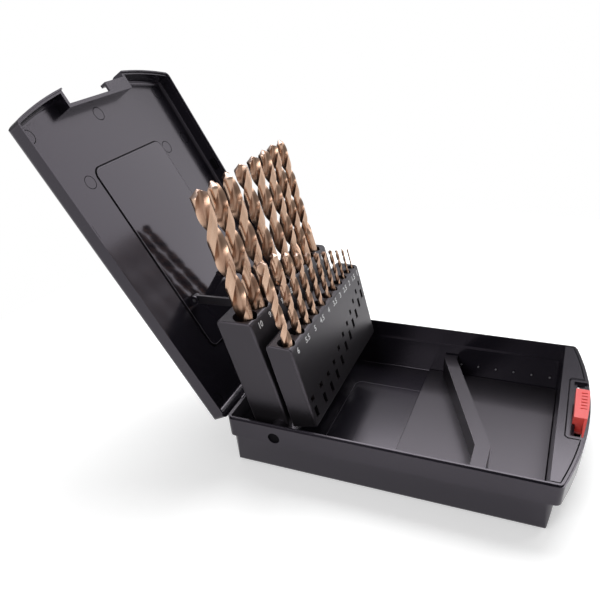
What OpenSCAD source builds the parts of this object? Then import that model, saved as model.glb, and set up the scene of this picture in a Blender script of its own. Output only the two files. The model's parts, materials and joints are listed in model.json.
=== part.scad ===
// Hinged drill bit case, standing open.
// Millimetres. x runs from the hinge end to the latch end, y from the near side
// to the far side, and z up. The origin is the middle of the tray's underside.

/* [Case] */
// Width of the case across the hinge
case_w = 138; // [120:1:165]
// Length of the straight sides, hinge end to latch corners
side_l = 192.5; // [180:0.5:235]
// How far the latch end bows out beyond the corners
bow = 10.5; // [6:0.5:14]
// Height of the tray's rim
tray_h = 37; // [34:0.5:45]
// Wall thickness of tray and lid
wall = 2; // [1.6:0.1:2.6]
// Radius of the upright corners
corner_r = 3.5; // [2.5:0.5:5]
// Height at which the tray's upper band starts
band_z = 23.2; // [18:0.1:23.5]
// Inset of the tray's lower box under the band
box_inset = 1.6; // [1:0.1:2.5]
// Extra inset of the lower box at its foot, from draft
box_draft = 1.6; // [0.5:0.1:2.5]
// Thickness of the tray's floor
floor_t = 2; // [1.5:0.1:3]
// Length of the shelf beside the latch, from the bowed edge
shelf_l = 17.4; // [15:0.1:22]

/* [Lid] */
// Height of the lid above the tray's rim
lid_h = 10.7; // [9.5:0.1:16]
// Rounding of the lid's outer edges
lid_edge_r = 4.5; // [2:0.5:5]
// Angle the lid stands open
lid_open = 118; // [118:1:118]
// Height of the step round the lid's middle panel
panel_step = 0.6; // [0.3:0.1:0.6]
// Width of the lid's middle panel
panel_w = 66.2; // [50:0.1:75]
// Length of the lid's middle panel
panel_l = 124.8; // [100:0.1:130]
// Distance from the hinge to the lid's middle panel
panel_x = 34; // [30:1:45]

/* [Hinge] */
// Radius of the hinge pins
hinge_pin_r = 0.8; // [0.6:0.1:1]
// Outer radius of the hinge knuckles
knuckle_r = 1.7; // [1.5:0.1:1.8]
// Length of one knuckle
knuckle_l = 8; // [6:0.5:9]
// Knuckles in each of the two hinges
knuckle_count = 3; // [3:2:3]
// Distance from the side of the case to the first knuckle
hinge_y = 20.3; // [15:0.1:30]
// Drop of the hinge axis below the rim
hinge_drop = 1.3; // [1:0.1:1.4]

/* [Latch] */
// Near edge of the notch for the latch
notch_y = 41.8; // [38:0.1:46]
// Length of the notch
notch_l = 53.5; // [50:0.5:56]
// Depth of the notch from the bowed edge
notch_d = 10; // [9:0.1:11]
// Length of the sliding latch
latch_l = 28; // [24:0.5:30]
// Distance the latch slides
latch_travel = 16; // [14:0.5:17]
// Height of the latch's top above the rim
latch_h = 7; // [6:0.1:8]
// Length of the lid's catch
catch_l = 18; // [16:0.5:20]
// Number of grip ribs on the latch
grip_count = 6; // [4:1:8]

/* [Racks] */
// Distance from the hinge end to the rack's pivot
pivot_x = 30.9; // [28:0.1:34]
// Height of the rack's pivot
pivot_z = 27.6; // [27:0.1:30]
// Radius of the rack's pivot pins
pivot_r = 3.7; // [3:0.1:4]
// Width of the racks
rack_w = 115.4; // [105:0.2:118]
// Lean of the racks away from the latch when open
rack_lean = 13; // [13:1:13]
// Height of the rear rack's back edge above the pivot
rear_h = 76; // [72:0.5:78]
// Drop of the rear rack's top from back to front
rear_fall = 4.8; // [3:0.1:6]
// Back of the rear rack behind the pivot
rear_back = 17.3; // [15:0.1:17.4]
// Front of the rear rack's top before the pivot
rear_front = 4.85; // [4:0.05:5.5]
// Height of the front rack's back edge above the pivot
front_h = 58; // [52:0.5:60]
// Drop of the front rack's top from back to front
front_fall = 4.4; // [3:0.1:5]
// Front of the front rack before the pivot
front_reach = 25; // [23:0.1:25]
// Gap between the two racks at the front rack's top
rack_gap = 4; // [2:0.1:4.5]
// Rounding of the racks' top edges
rack_edge_r = 2.5; // [1.5:0.1:2.8]

/* [Drills] */
// Length of every rear drill above its pocket
rear_exposed = 73.4; // [60:0.2:74]
// Wall between a rear pocket and the rear rack's front
rear_wall = 2; // [1.7:0.1:2.3]
// Wall between a front pocket and the front rack's front
front_wall = 1.4; // [1.3:0.1:1.9]
// Lean of the rear drills beyond the rack's
rear_splay = 0.8; // [0.4:0.1:1.2]
// Lean of the front drills forward of the rack's
front_splay = 0.5; // [0.2:0.1:0.6]
// Clearance all round a drill in its pocket
drill_fit = 0.25; // [0.2:0.05:0.5]
// Distance from the rack's near end to the centre of the largest rear drill
rear_margin = 8.7; // [7:0.1:9.5]
// Distance from the rack's near end to the centre of the largest front drill
front_margin = 6.2; // [5:0.1:7]

/* [Links] */
// Thickness of the flat links between lid and rack
link_t = 2; // [1.6:0.1:2.2]
// Height of the links
link_h = 5.4; // [4.5:0.1:6]
// Radius of the link pins
link_pin_r = 1.2; // [1:0.1:1.3]
// Play of the pin in the link's open eye
link_play = 2.35; // [2.3:0.05:2.4]

/* [Drill rest] */
// Distance from the hinge end to the drill rest
rest_x = 96; // [92:1:100]
// Thickness of the rest's plate
rest_t = 1.6; // [1.3:0.1:1.7]
// Height of the rest's diagonal ridge above its plate
ridge_h = 15.4; // [10:0.2:16]
// Width of the ridge
ridge_w = 8.4; // [6:0.1:10]

/* [Fits] */
// Gap between parts that move past each other
run_gap = 0.3; // [0.2:0.05:0.35]
// Gap between the lid's rim and the tray's rim
rim_gap = 0.15; // [0.1:0.05:0.2]
// Clearance all round a pin in its bore
pin_fit = 0.06; // [0.03:0.01:0.09]

/* [Hidden] */
eps = 0.01;
big = 400;

// Case
mid_y = case_w / 2;
case_l = side_l + bow;
bow_r = (mid_y * mid_y + bow * bow) / (2 * bow);
bow_x = case_l - bow_r;
shelf_x = case_l - shelf_l;
shelf_t = 2.5;
box_edge_r = 3;
box_corner_extra = 3;
box_foot_x = shelf_x + 3.1;
box_shoulder_x = shelf_x + 4.6;
hinge_inset = 0.5;
boss_r = pivot_r + 2.4;
boss_y = box_inset + box_draft + wall;

// Rim: the lid's outer lip hangs over the tray's inner tongue
lip_t = 0.85;
lip_h = 1.05;
rim_z = tray_h + rim_gap;
groove_in = 2.4;
groove_w = 0.5;
groove_d = 0.6;

// Lid, in its closed place
hinge_z = tray_h - hinge_drop;
lid_top = tray_h + lid_h;
lid_in = lid_top - wall;
panel_z = lid_in - panel_step;
panel_y = (case_w - panel_w) / 2;
panel_r = 5;
snap_w = 7.6;
snap_x = [66, 129];

// Latch
notch_x = case_l - notch_d;
notch_end = notch_y + notch_l;
ledge_z = tray_h - 1.5;
ledge_t = 2;
slot_x = notch_x + 2;
slot_w = 4;
latch_y = notch_y + 8.2;
latch_x = notch_x + 0.5;
latch_out = 1.8;
latch_wall = 2.4;
latch_base = tray_h + 2.6;
undercut_z = tray_h + 5;
catch_t = 1.5;
catch_lip_t = 1.7;
catch_x = notch_x + 5.3;
stem_y = latch_y + 4;
stem_l = 6;
foot_l = 12;
foot_t = 1.4;

// Racks. In the rack's own frame x points forward, z up along the rack,
// and the origin is on the pivot.
rack_y = (case_w - rack_w) / 2;
split_gap = 2.6;
split_n = rear_front + 1.05 + split_gap;
split_u = 31;
rack_boss_r = split_n - split_gap - 0.2;
rear_depth = rear_back + rear_front;
front_back = rear_front + rack_gap;
front_depth = front_reach - front_back;
clip_y = [0.14, 0.5, 0.86];
clip_l = 8;
clip_in = 2.4;
clip_u = 3;

// Windows in the front rack's face: the lower row, then the upper row, as
// width and height, what each next one loses of that, and height on the rack
window_size = [[3.8, 7.2], [4.2, 3.4]];
window_shrink = [[0.08, 0.1], [0.2, 0]];
window_shift = 0.7;
window_u = [[8, 8, 8, 9.9, 13.3, 17.4, 20.2, 24.2, 27.1, 31.2, 34.3],
    [17.2, 17.6, 17.4, 18.9, 22.6, 26.3, 29, 32.6, 36.4, 39.6, 42.3]];

// Drills, largest first
rear_d = [10, 9.5, 9, 8.5, 8, 7.5, 7, 6.5];
rear_pitch = [14.5, 15.5, 15.7, 15.2, 13.8, 12, 11.2];
front_d = [6, 5.5, 5, 4.5, 4, 3.5, 3, 2.5, 2, 1.5, 1];
front_pitch = [14, 12, 11.5, 11.5, 11, 10, 9.2, 8.6, 8.4, 7.8];
front_exposed = [49.4, 48.4, 43.7, 38.6, 33.7, 29.3, 25.9, 23, 19.4, 16.6, 13.4];
seat_gap = 0.05;
mouth_depth = 10;
mouth_lip = 0.6;
mouth_room = 1.75;
lead_ratio = 5.44;
point_ratio = 0.3;
tip_lap = 0.1;

// Standard jobber lengths for each diameter: overall and fluted.
function overall(d) = d == 1 ? 34 : d == 1.5 ? 40 : d == 2 ? 49 : d == 2.5 ? 57 : d == 3 ? 61
    : d == 3.5 ? 70 : d == 4 ? 75 : d == 4.5 ? 80 : d == 5 ? 86 : d <= 6 ? 93 : d == 6.5 ? 101
    : d <= 7.5 ? 109 : d <= 8.5 ? 117 : d <= 9.5 ? 125 : 133;
function fluted(d) = d == 1 ? 12 : d == 1.5 ? 18 : d == 2 ? 24 : d == 2.5 ? 30 : d == 3 ? 33
    : d == 3.5 ? 39 : d == 4 ? 43 : d == 4.5 ? 47 : d == 5 ? 52 : d <= 6 ? 57 : d == 6.5 ? 63
    : d <= 7.5 ? 69 : d <= 8.5 ? 75 : d <= 9.5 ? 81 : 87;

// Sum of the first n entries of a list.
function sum(list, n) = n <= 0 ? 0 : list[n - 1] + sum(list, n - 1);
function rear_y(i) = rack_y + rear_margin + sum(rear_pitch, i);
function rear_axis(i) = rear_front - rear_wall - drill_fit - rear_d[i] / 2;
function front_axis(i) = front_reach - front_wall - drill_fit - front_d[i] / 2;
function front_y(i) = rack_y + front_margin + sum(front_pitch, i);

// Height of each rack's sloping top above the pivot, n before it.
function rear_top(n) = rear_h - rear_fall * (n + rear_back) / rear_depth;
function front_top(n) = front_h - front_fall * (n - front_back) / front_depth;

// Links: pivots in the closed case, on the lid and on the rack
lid_pin_x = 66;
lid_pin_z = 40.5;
rack_pin_n = -12.4;
rack_pin_u = 72.1;
link_l = 36.9;
link_drop = 4.37;
link_swing = 111.6;
link_wall = 1;
link_eye_r = link_pin_r + link_play;
link_slot_w = link_t + 2 * 0.4;
ear_t = 1.2;
ear_gap = 0.25;
ear_r = link_pin_r + 1.6;
ear_w = link_t + 2 * ear_gap + 2 * ear_t;
rack_pin_l = 9;
function between_rear(i) = (rear_y(i) + rear_d[i] / 2 + rear_y(i + 1) - rear_d[i + 1] / 2) / 2;
link_y = [between_rear(1), between_rear(4)];

// Drill rest
rest_gap = 0.3;
ridge_bend_y = 40;
ridge_far_x = 107;
ridge_near_x = 143.6;

// Points along a rounded corner at b, between its neighbours a and c.
function unit(v) = v / norm(v);
function turn(a) = a > 180 ? a - 360 : a < -180 ? a + 360 : a;
function corner(a, b, c, r, steps = 7) = r <= 0 ? [b] :
    let (u = unit(a - b), v = unit(c - b))
    let (half = acos(u * v) / 2)
    let (centre = b + unit(u + v) * r / sin(half))
    let (from = b + u * r / tan(half) - centre)
    let (to = b + v * r / tan(half) - centre)
    let (first = atan2(from[1], from[0]))
    let (sweep = turn(atan2(to[1], to[0]) - first))
    [for (i = [0:steps]) centre + r * [cos(first + sweep * i / steps), sin(first + sweep * i / steps)]];
function rounded(points, radii) = let (n = len(points))
    [for (i = [0:n - 1]) each corner(points[(i + n - 1) % n], points[i], points[(i + 1) % n], radii[i])];

// Plan of the case, with its bowed latch end, drawn in by inset.
module outline(inset = 0) {
    steps = 24;
    reach = bow_r - inset;
    half = asin((mid_y - inset) / reach);
    r = max(corner_r - inset, 0.8);
    angles = [for (i = [0:steps]) half * (2 * i / steps - 1)];
    arc = [for (a = angles) [bow_x, mid_y] + reach * [cos(a), sin(a)]];
    ends = [[inset, case_w - inset], [inset, inset]];
    points = concat(arc, ends);
    radii = [for (i = [0:steps + 2]) i > 0 && i < steps ? 0 : r];
    polygon(rounded(points, radii));
}

// A plan or profile pushed along y or x. Profiles are drawn as (x, z) and (y, z).
module along_y(from, length) {
    translate([0, from + length, 0]) rotate([90, 0, 0]) linear_extrude(length) children();
}
module along_x(from, length) {
    translate([from, 0, 0]) rotate([90, 0, 90]) linear_extrude(length) children();
}

// Frames: the case, the open lid and the leaning rack.
module in_case() {
    translate([-case_l / 2, -mid_y, 0]) children();
}
module in_lid() {
    in_case() translate([0, 0, hinge_z]) rotate([0, -lid_open, 0]) translate([0, 0, -hinge_z]) children();
}
module in_rack() {
    in_case() translate([pivot_x, 0, pivot_z]) rotate([0, -rack_lean, 0]) children();
}

// A bar or a bore along y.
module rod(x, z, r, from, length) {
    translate([x, from, z]) rotate([-90, 0, 0]) cylinder(r = r, h = length, $fn = 48);
}

// The lower box of the tray, or the hollow in it.
module lower_box(inset, bottom, top, foot_x, shoulder_x) {
    foot = box_inset + box_draft + inset;
    shoulder = box_inset + inset;
    r = max(box_edge_r - inset, 1);
    plan_r = r + box_corner_extra;
    back = hinge_inset + inset;
    intersection() {
        along_x(-1, case_l + 2) polygon(rounded([[foot, bottom], [case_w - foot, bottom],
            [case_w - shoulder, top], [shoulder, top]], [r, r, 0, 0]));
        along_y(-1, case_w + 2) polygon(rounded([[back + 0.5, bottom], [foot_x, bottom],
            [shoulder_x, top], [back, top]], [r, r, 0, 0]));
        linear_extrude(top + 1) polygon(rounded([[back, shoulder], [shoulder_x, shoulder],
            [shoulder_x, case_w - shoulder], [back, case_w - shoulder]], [plan_r, plan_r, plan_r, plan_r]));
    }
}

// Knuckles: those of the tray are even, those of the lid odd.
module knuckles(odd, r) {
    span = knuckle_l + run_gap;
    for (side = [0, 1]) for (i = [0:knuckle_count - 1]) if (i % 2 == odd)
        translate([0, side * case_w, 0]) mirror([0, side, 0])
            rod(0, hinge_z, r, hinge_y + i * span, knuckle_l);
}
module knuckle_clearance(odd) {
    span = knuckle_l + run_gap;
    for (side = [0, 1]) for (i = [0:knuckle_count - 1]) if (i % 2 == odd)
        translate([0, side * case_w, 0]) mirror([0, side, 0])
            rod(0, hinge_z, knuckle_r + 0.25, hinge_y + i * span - run_gap, knuckle_l + 2 * run_gap);
}
module hinge_bores() {
    span = knuckle_l + run_gap;
    for (side = [0, 1]) translate([0, side * case_w, 0]) mirror([0, side, 0])
        rod(0, hinge_z, hinge_pin_r + pin_fit, hinge_y - 1, knuckle_count * span + 2);
}

// Thin line engraved round the shelf and the notch.
module shelf_line() {
    notch_in = notch_x - groove_in;
    translate([0, 0, tray_h - groove_d]) linear_extrude(groove_d + 1) difference() {
        union() {
            difference() {
                outline(groove_in);
                outline(groove_in + groove_w);
                translate([-1, -1]) square([shelf_x + 1, case_w + 2]);
                translate([notch_in, notch_y - groove_in]) square([notch_d + 9, notch_l + 2 * groove_in]);
            }
            intersection() {
                outline(groove_in);
                difference() {
                    polygon(rounded([[notch_in - groove_w, notch_y - groove_in],
                        [case_l + 5, notch_y - groove_in], [case_l + 5, notch_end + groove_in],
                        [notch_in - groove_w, notch_end + groove_in]], [3, 0, 0, 3]));
                    polygon(rounded([[notch_in, notch_y - groove_in + groove_w],
                        [case_l + 6, notch_y - groove_in + groove_w],
                        [case_l + 6, notch_end + groove_in - groove_w],
                        [notch_in, notch_end + groove_in - groove_w]], [2.5, 0, 0, 2.5]));
                }
            }
        }
    }
}

module tray() {
    pip_count = 6;
    pip_pitch = 12.1;
    color("#3a373b") in_case() difference() {
        union() {
            difference() {
                union() {
                    translate([0, 0, band_z]) linear_extrude(tray_h - band_z) outline();
                    lower_box(0, 0, band_z + eps, box_foot_x, box_shoulder_x);
                }
                lower_box(wall, floor_t, band_z + wall + eps, shelf_x, shelf_x);
                intersection() {
                    translate([0, 0, band_z + wall]) linear_extrude(tray_h) outline(wall);
                    cube([shelf_x, case_w, big]);
                }
                // Hollow under the shelf
                intersection() {
                    translate([0, 0, band_z - 1]) linear_extrude(tray_h - shelf_t - band_z + 1)
                        outline(wall);
                    translate([box_shoulder_x, 0, 0]) cube([big, case_w, big]);
                }
            }
            for (side = [0, 1]) translate([0, side * case_w, 0]) mirror([0, side, 0])
                rod(pivot_x, pivot_z, boss_r, wall / 2, boss_y - wall / 2);
            // Wall of the latch's guide, under the ledge
            translate([box_shoulder_x - eps, notch_y - wall, ledge_z - ledge_t])
                cube([case_l - wall - box_shoulder_x, notch_l + 2 * wall, ledge_t]);
            intersection() {
                translate([0, 0, band_z]) linear_extrude(ledge_z - band_z) outline();
                translate([notch_x, notch_y - wall, ledge_z - ledge_t])
                    cube([big, notch_l + 2 * wall, ledge_t]);
            }
            for (i = [1:pip_count]) translate([ridge_far_x + i * pip_pitch, case_w - boss_y + 0.3, 12])
                sphere(r = 1, $fn = 24);
            knuckles(0, knuckle_r);
        }
        // Step for the lid's lip
        translate([0, 0, rim_z - lip_h - 0.2]) linear_extrude(big) difference() {
            translate([2, -5]) square([case_l + 5, case_w + 10]);
            outline(lip_t + 0.15);
        }
        // Notch and slot for the latch
        translate([notch_x, notch_y, ledge_z]) cube([big, notch_l, big]);
        translate([slot_x, notch_y + 2, band_z]) cube([slot_w, notch_l - 3, big]);
        shelf_line();
        for (side = [0, 1]) translate([0, side * case_w, 0]) mirror([0, side, 0])
            rod(pivot_x, pivot_z, pivot_r + pin_fit, -1, boss_y + 2);
        knuckle_clearance(1);
        hinge_bores();
    }
}

// The lid's outer form, or the hollow in it, in its closed place.
module lid_form(inset, bottom, top) {
    r = max(lid_edge_r - inset, 1);
    reach = bow_r - inset;
    intersection() {
        translate([0, 0, bottom]) linear_extrude(top - bottom) outline(inset);
        along_x(-1, case_l + 2) polygon(rounded([[inset, bottom], [case_w - inset, bottom],
            [case_w - inset, top], [inset, top]], [0, 0, r, r]));
        along_y(-1, case_w + 2) polygon(rounded([[inset, bottom], [big, bottom], [big, top],
            [inset, top]], [0, 0, 0, r]));
        translate([bow_x, mid_y, 0]) rotate_extrude($fn = 180) polygon(rounded([[0, bottom],
            [reach, bottom], [reach, top], [0, top]], [0, 0, r, 0]));
    }
}

module panel(z, h) {
    translate([panel_x, panel_y, z]) linear_extrude(h) polygon(rounded([[0, 0], [panel_l, 0],
        [panel_l, panel_w], [0, panel_w]], [panel_r, panel_r, panel_r, panel_r]));
}

// Ears that carry a link's pin, under the lid.
module lid_ears(y) {
    for (side = [-1, 1]) {
        from = y + (side < 0 ? -ear_w / 2 : ear_w / 2 - ear_t);
        rod(lid_pin_x, lid_pin_z, ear_r, from, ear_t);
        translate([lid_pin_x - ear_r, from, lid_pin_z]) cube([2 * ear_r, ear_t, lid_in - lid_pin_z + eps]);
    }
}

module lid() {
    color("#3a373b") in_lid() difference() {
        union() {
            difference() {
                union() {
                    lid_form(0, rim_z, lid_top);
                    translate([0, 0, rim_z - lip_h]) linear_extrude(lip_h + eps) difference() {
                        outline();
                        outline(lip_t);
                        translate([-1, -1]) square([corner_r + 1, case_w + 2]);
                    }
                }
                difference() {
                    lid_form(wall, rim_z - 2, lid_in);
                    translate([notch_x - wall, notch_y - wall, 0]) cube([big, notch_l + 2 * wall, big]);
                    panel(panel_z, big);
                }
                panel(lid_top - panel_step, big);
                translate([notch_x, notch_y, 0]) cube([big, notch_l, big]);
                // Snap recesses in both side walls
                for (x = snap_x) for (side = [0, 1]) translate([0, side * case_w, 0]) mirror([0, side, 0])
                    translate([x - snap_w / 2, wall - 0.8, rim_z + 0.6]) cube([snap_w, wall, 2.5]);
            }
            // Catch for the latch
            translate([notch_x - eps, notch_end - catch_l, rim_z]) {
                cube([catch_x - notch_x, catch_l + eps, catch_t]);
                translate([catch_x - notch_x - catch_lip_t, 0, 0])
                    cube([catch_lip_t, catch_l + eps, latch_base + 2 - rim_z]);
            }
            for (y = link_y) lid_ears(y);
            knuckles(1, knuckle_r);
            intersection() {
                knuckles(1, knuckle_r + 0.2);
                translate([-0.9, 0, hinge_z]) cube([1.8, case_w, rim_z - hinge_z + 0.5]);
            }
        }
        knuckle_clearance(0);
        hinge_bores();
        for (y = link_y) rod(lid_pin_x, lid_pin_z, link_pin_r + pin_fit, y - 5, 10);
    }
}

module hinge_pins() {
    span = knuckle_l + run_gap;
    color("#9a9a9c") in_case() for (side = [0, 1]) translate([0, side * case_w, 0]) mirror([0, side, 0])
        rod(0, hinge_z, hinge_pin_r, hinge_y, knuckle_count * span - run_gap);
}

module latch() {
    color("#d8342c") in_case() difference() {
        union() {
            difference() {
                intersection() {
                    translate([0, 0, ledge_z + 0.2]) linear_extrude(tray_h + latch_h - ledge_z - 0.2)
                        outline(latch_out);
                    union() {
                        translate([latch_x, latch_y, latch_base]) cube([big, latch_l, big]);
                        translate([case_l - latch_out - latch_wall, latch_y, 0]) cube([big, latch_l, big]);
                        translate([latch_x, stem_y, 0]) cube([big, stem_l, big]);
                        // Outer wall drawn out to a ramp
                        along_x(case_l - latch_out - latch_wall, latch_wall + 1) polygon([
                            [latch_y + eps, tray_h + latch_h], [latch_y - 8, tray_h - 1],
                            [latch_y - 8, 0], [latch_y + eps, 0]]);
                    }
                }
                // Undercut for the catch's lip
                translate([catch_x - catch_lip_t - 0.4, stem_y + stem_l, 0])
                    cube([catch_lip_t + 0.8, latch_l, undercut_z]);
            }
            translate([slot_x + 0.2, stem_y, ledge_z - ledge_t - 0.3 - foot_t])
                cube([slot_w - 0.4, stem_l, ledge_t + 0.3 + foot_t + 1]);
            translate([notch_x + 0.3, stem_y - 3, ledge_z - ledge_t - 0.3 - foot_t])
                cube([notch_d - wall - 1.6, foot_l, foot_t]);
        }
        // Grip along the outer top edge
        for (i = [0:grip_count - 1])
            translate([case_l - latch_out - 3, latch_y + 9 + 3 * i, tray_h + latch_h])
                rotate([0, 45, 0]) cube([8, 0.9, 2.4], center = true);
    }
}

module drill_rest() {
    low_y = box_inset + box_draft + wall + rest_gap;
    plate_top = floor_t + rest_t;
    slope = (ridge_near_x - ridge_far_x) / (case_w - low_y - ridge_bend_y);
    across = ridge_w * sqrt(1 + slope * slope);
    far_y = case_w - low_y;
    end_x = shelf_x - rest_gap;
    color("#36343a") in_case() {
        intersection() {
            along_x(rest_x, end_x - rest_x) polygon(rounded([[low_y, floor_t], [far_y, floor_t],
                [far_y, plate_top], [low_y, plate_top]], [0.8, 0.8, 0.4, 0.4]));
            along_y(low_y - 1, far_y - low_y + 2) polygon(rounded([[rest_x, floor_t], [end_x, floor_t],
                [end_x, plate_top], [rest_x, plate_top]], [0, 0.8, 0.4, 0.4]));
            linear_extrude(plate_top) polygon(rounded([[rest_x, low_y], [end_x, low_y],
                [end_x, far_y], [rest_x, far_y]], [0, 4, 4, 0]));
        }
        translate([0, 0, plate_top - eps]) linear_extrude(ridge_h + eps) polygon([
            [ridge_far_x, far_y - 4], [ridge_near_x, ridge_bend_y], [ridge_near_x + 0.4, low_y],
            [ridge_near_x + ridge_w + 0.4, low_y], [ridge_near_x + across, ridge_bend_y + 1.2],
            [ridge_far_x + across, far_y - 4], [ridge_far_x + across, far_y], [ridge_far_x, far_y]]);
    }
}

// The pocket of one drill: a bore, with a wider mouth that reaches the front lip.
module pocket(d, depth, lip) {
    mouth_r = d / 2 + drill_fit + mouth_room;
    translate([0, 0, -depth - seat_gap]) cylinder(r = d / 2 + drill_fit, h = depth + 20, $fn = 32);
    translate([lip - mouth_r, 0, -mouth_depth]) cylinder(r = mouth_r, h = mouth_depth + 20, $fn = 48);
}

// Places for the drills: the point where a drill's axis leaves its rack.
module rear_place(i) {
    translate([rear_axis(i), rear_y(i), rear_top(rear_axis(i))]) rotate([0, -rear_splay, 0]) children();
}
module front_place(i) {
    translate([front_axis(i), front_y(i), front_top(front_axis(i))]) rotate([0, front_splay, 0]) children();
}

module clips(grow) {
    reach = split_gap + clip_in + eps;
    for (share = clip_y)
        translate([split_n + eps - reach - grow, rack_y + share * rack_w - clip_l / 2 - grow, clip_u - grow])
            cube([reach + 2 * grow, clip_l + 2 * grow, clip_l + 2 * grow]);
}

module rack_rear() {
    color("#413e42") in_rack() difference() {
        union() {
            along_y(rack_y, rack_w) polygon(rounded([[-rear_back, 0], [split_n - split_gap, 0],
                [split_n - split_gap, split_u], [rear_front, rear_h - rear_fall], [-rear_back, rear_h]],
                [3, 0, 0, rack_edge_r, rack_edge_r]));
            for (side = [0, 1]) translate([0, side * case_w, 0]) mirror([0, side, 0])
                rod(0, 0, rack_boss_r, boss_y + run_gap, rack_y - boss_y - run_gap + 4);
        }
        for (i = [0:len(rear_d) - 1]) rear_place(i)
            pocket(rear_d[i], overall(rear_d[i]) - rear_exposed, rear_front - rear_axis(i) - mouth_lip);
        clips(0.15);
        for (side = [0, 1]) translate([0, side * case_w, 0]) mirror([0, side, 0])
            rod(0, 0, pivot_r + pin_fit, -1, rack_y + 9);
        for (y = link_y) {
            // Room for the link along the rack's back, and for its open eye
            translate([-big, y - link_slot_w / 2, lid_pin_x - pivot_x - 4])
                cube([big + rack_pin_n + link_h / 2 + link_play + run_gap, link_slot_w, big]);
            rod(rack_pin_n, rack_pin_u, link_eye_r + link_wall + link_play + 0.3, y - link_slot_w / 2,
                link_slot_w);
            // Room for the lid's ears
            translate([-big, y - ear_w / 2 - 0.4, lid_pin_x - pivot_x - ear_r - 1])
                cube([big + pivot_z - lid_pin_z + ear_r + 0.5, ear_w + 0.8, 2 * ear_r + 4]);
            rod(rack_pin_n, rack_pin_u, link_pin_r + pin_fit, y - rack_pin_l / 2, rack_pin_l);
        }
    }
}

module rack_front() {
    color("#413e42") in_rack() difference() {
        union() {
            along_y(rack_y, rack_w) polygon(rounded([[split_n, 0], [front_reach, 0],
                [front_reach, front_h - front_fall], [front_back, front_h], [split_n, split_u]],
                [0, 1, rack_edge_r, rack_edge_r, 0]));
            clips(0);
        }
        for (i = [0:len(front_d) - 1]) {
            front_place(i) pocket(front_d[i], overall(front_d[i]) - front_exposed[i],
                front_reach - front_axis(i) - mouth_lip);
            // Two windows in the front face over each pocket
            for (row = [0, 1]) {
                size = window_size[row] - i * window_shrink[row];
                from_y = front_y(i) - window_shift - size[0] / 2;
                translate([front_axis(i), from_y, window_u[row][i] - size[1] / 2])
                    cube([big, size[0], size[1]]);
            }
        }
    }
}

module rack_pivot_pins() {
    color("#2c2a2d") in_case() for (side = [0, 1]) translate([0, side * case_w, 0]) mirror([0, side, 0])
        rod(pivot_x, pivot_z, pivot_r, 1.2, rack_y + 6);
}

module rack_link_pins() {
    color("#9a9a9c") in_rack() for (y = link_y)
        rod(rack_pin_n, rack_pin_u, link_pin_r, y - rack_pin_l / 2, rack_pin_l);
}

module lid_link_pins() {
    color("#9a9a9c") in_lid() for (y = link_y) rod(lid_pin_x, lid_pin_z, link_pin_r, y - ear_w / 2, ear_w);
}

// A flat link. Its round end turns on the lid's pin, and its open eye rides the rack's pin.
module link(y) {
    eye_out = link_eye_r + link_wall;
    in_lid() translate([lid_pin_x, 0, lid_pin_z]) rotate([0, link_swing + link_drop, 0]) difference() {
        union() {
            rod(0, 0, link_h / 2, y - link_t / 2, link_t);
            translate([0, y - link_t / 2, -link_h / 2]) cube([link_l - link_eye_r, link_t, link_h]);
            rod(link_l, 0, eye_out, y - link_t / 2, link_t);
        }
        rod(0, 0, link_pin_r + pin_fit, y - link_t, 2 * link_t);
        rod(link_l, 0, link_eye_r, y - link_t, 2 * link_t);
    }
}
module link_near() {
    color("#2c2a2d") link(link_y[0]);
}
module link_far() {
    color("#2c2a2d") link(link_y[1]);
}

// Section of the fluted part: two lands and two flutes.
function land(a) = abs(cos(a)) > 0.8 ? 0.985 : abs(cos(a)) > 0.4 ? 0.66 : 0.34;
module flute_section(d) {
    polygon([for (a = [0:30:330]) d / 2 * land(a) * [cos(a), sin(a)]]);
}

// A twist drill standing in its pocket, with its tip up.
module drill(d, exposed) {
    length = overall(d);
    flutes = fluted(d);
    point = point_ratio * d;
    turns = 360 * (flutes - point) / (lead_ratio * d);
    tip_turn = 360 * point / (lead_ratio * d);
    color("#a98565") translate([0, 0, exposed - length]) {
        cylinder(d = d, h = length - flutes, $fn = 32);
        translate([0, 0, length - flutes - tip_lap]) linear_extrude(flutes - point + tip_lap,
            twist = -turns, slices = ceil(turns / 37)) flute_section(d);
        translate([0, 0, length - point - tip_lap]) rotate([0, 0, turns]) linear_extrude(point + tip_lap,
            twist = -tip_turn, scale = 0.1, slices = 2) flute_section(d);
    }
}
module rear_drill(i) {
    in_rack() rear_place(i) drill(rear_d[i], rear_exposed);
}
module front_drill(i) {
    in_rack() front_place(i) drill(front_d[i], front_exposed[i]);
}

tray();
lid();
hinge_pins();
latch();
drill_rest();
rack_rear();
rack_front();
rack_pivot_pins();
rack_link_pins();
lid_link_pins();
link_near();
link_far();
rear_drill(0);  // drill_10_0
rear_drill(1);  // drill_9_5
rear_drill(2);  // drill_9_0
rear_drill(3);  // drill_8_5
rear_drill(4);  // drill_8_0
rear_drill(5);  // drill_7_5
rear_drill(6);  // drill_7_0
rear_drill(7);  // drill_6_5
front_drill(0);  // drill_6_0
front_drill(1);  // drill_5_5
front_drill(2);  // drill_5_0
front_drill(3);  // drill_4_5
front_drill(4);  // drill_4_0
front_drill(5);  // drill_3_5
front_drill(6);  // drill_3_0
front_drill(7);  // drill_2_5
front_drill(8);  // drill_2_0
front_drill(9);  // drill_1_5
front_drill(10);  // drill_1_0
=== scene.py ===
# Drill bit case: an open hinged case whose two-step rack of twist drills tilts up with the lid.
import json
import math

import bmesh
import bpy
import numpy as np
from mathutils import Matrix, Vector


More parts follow.
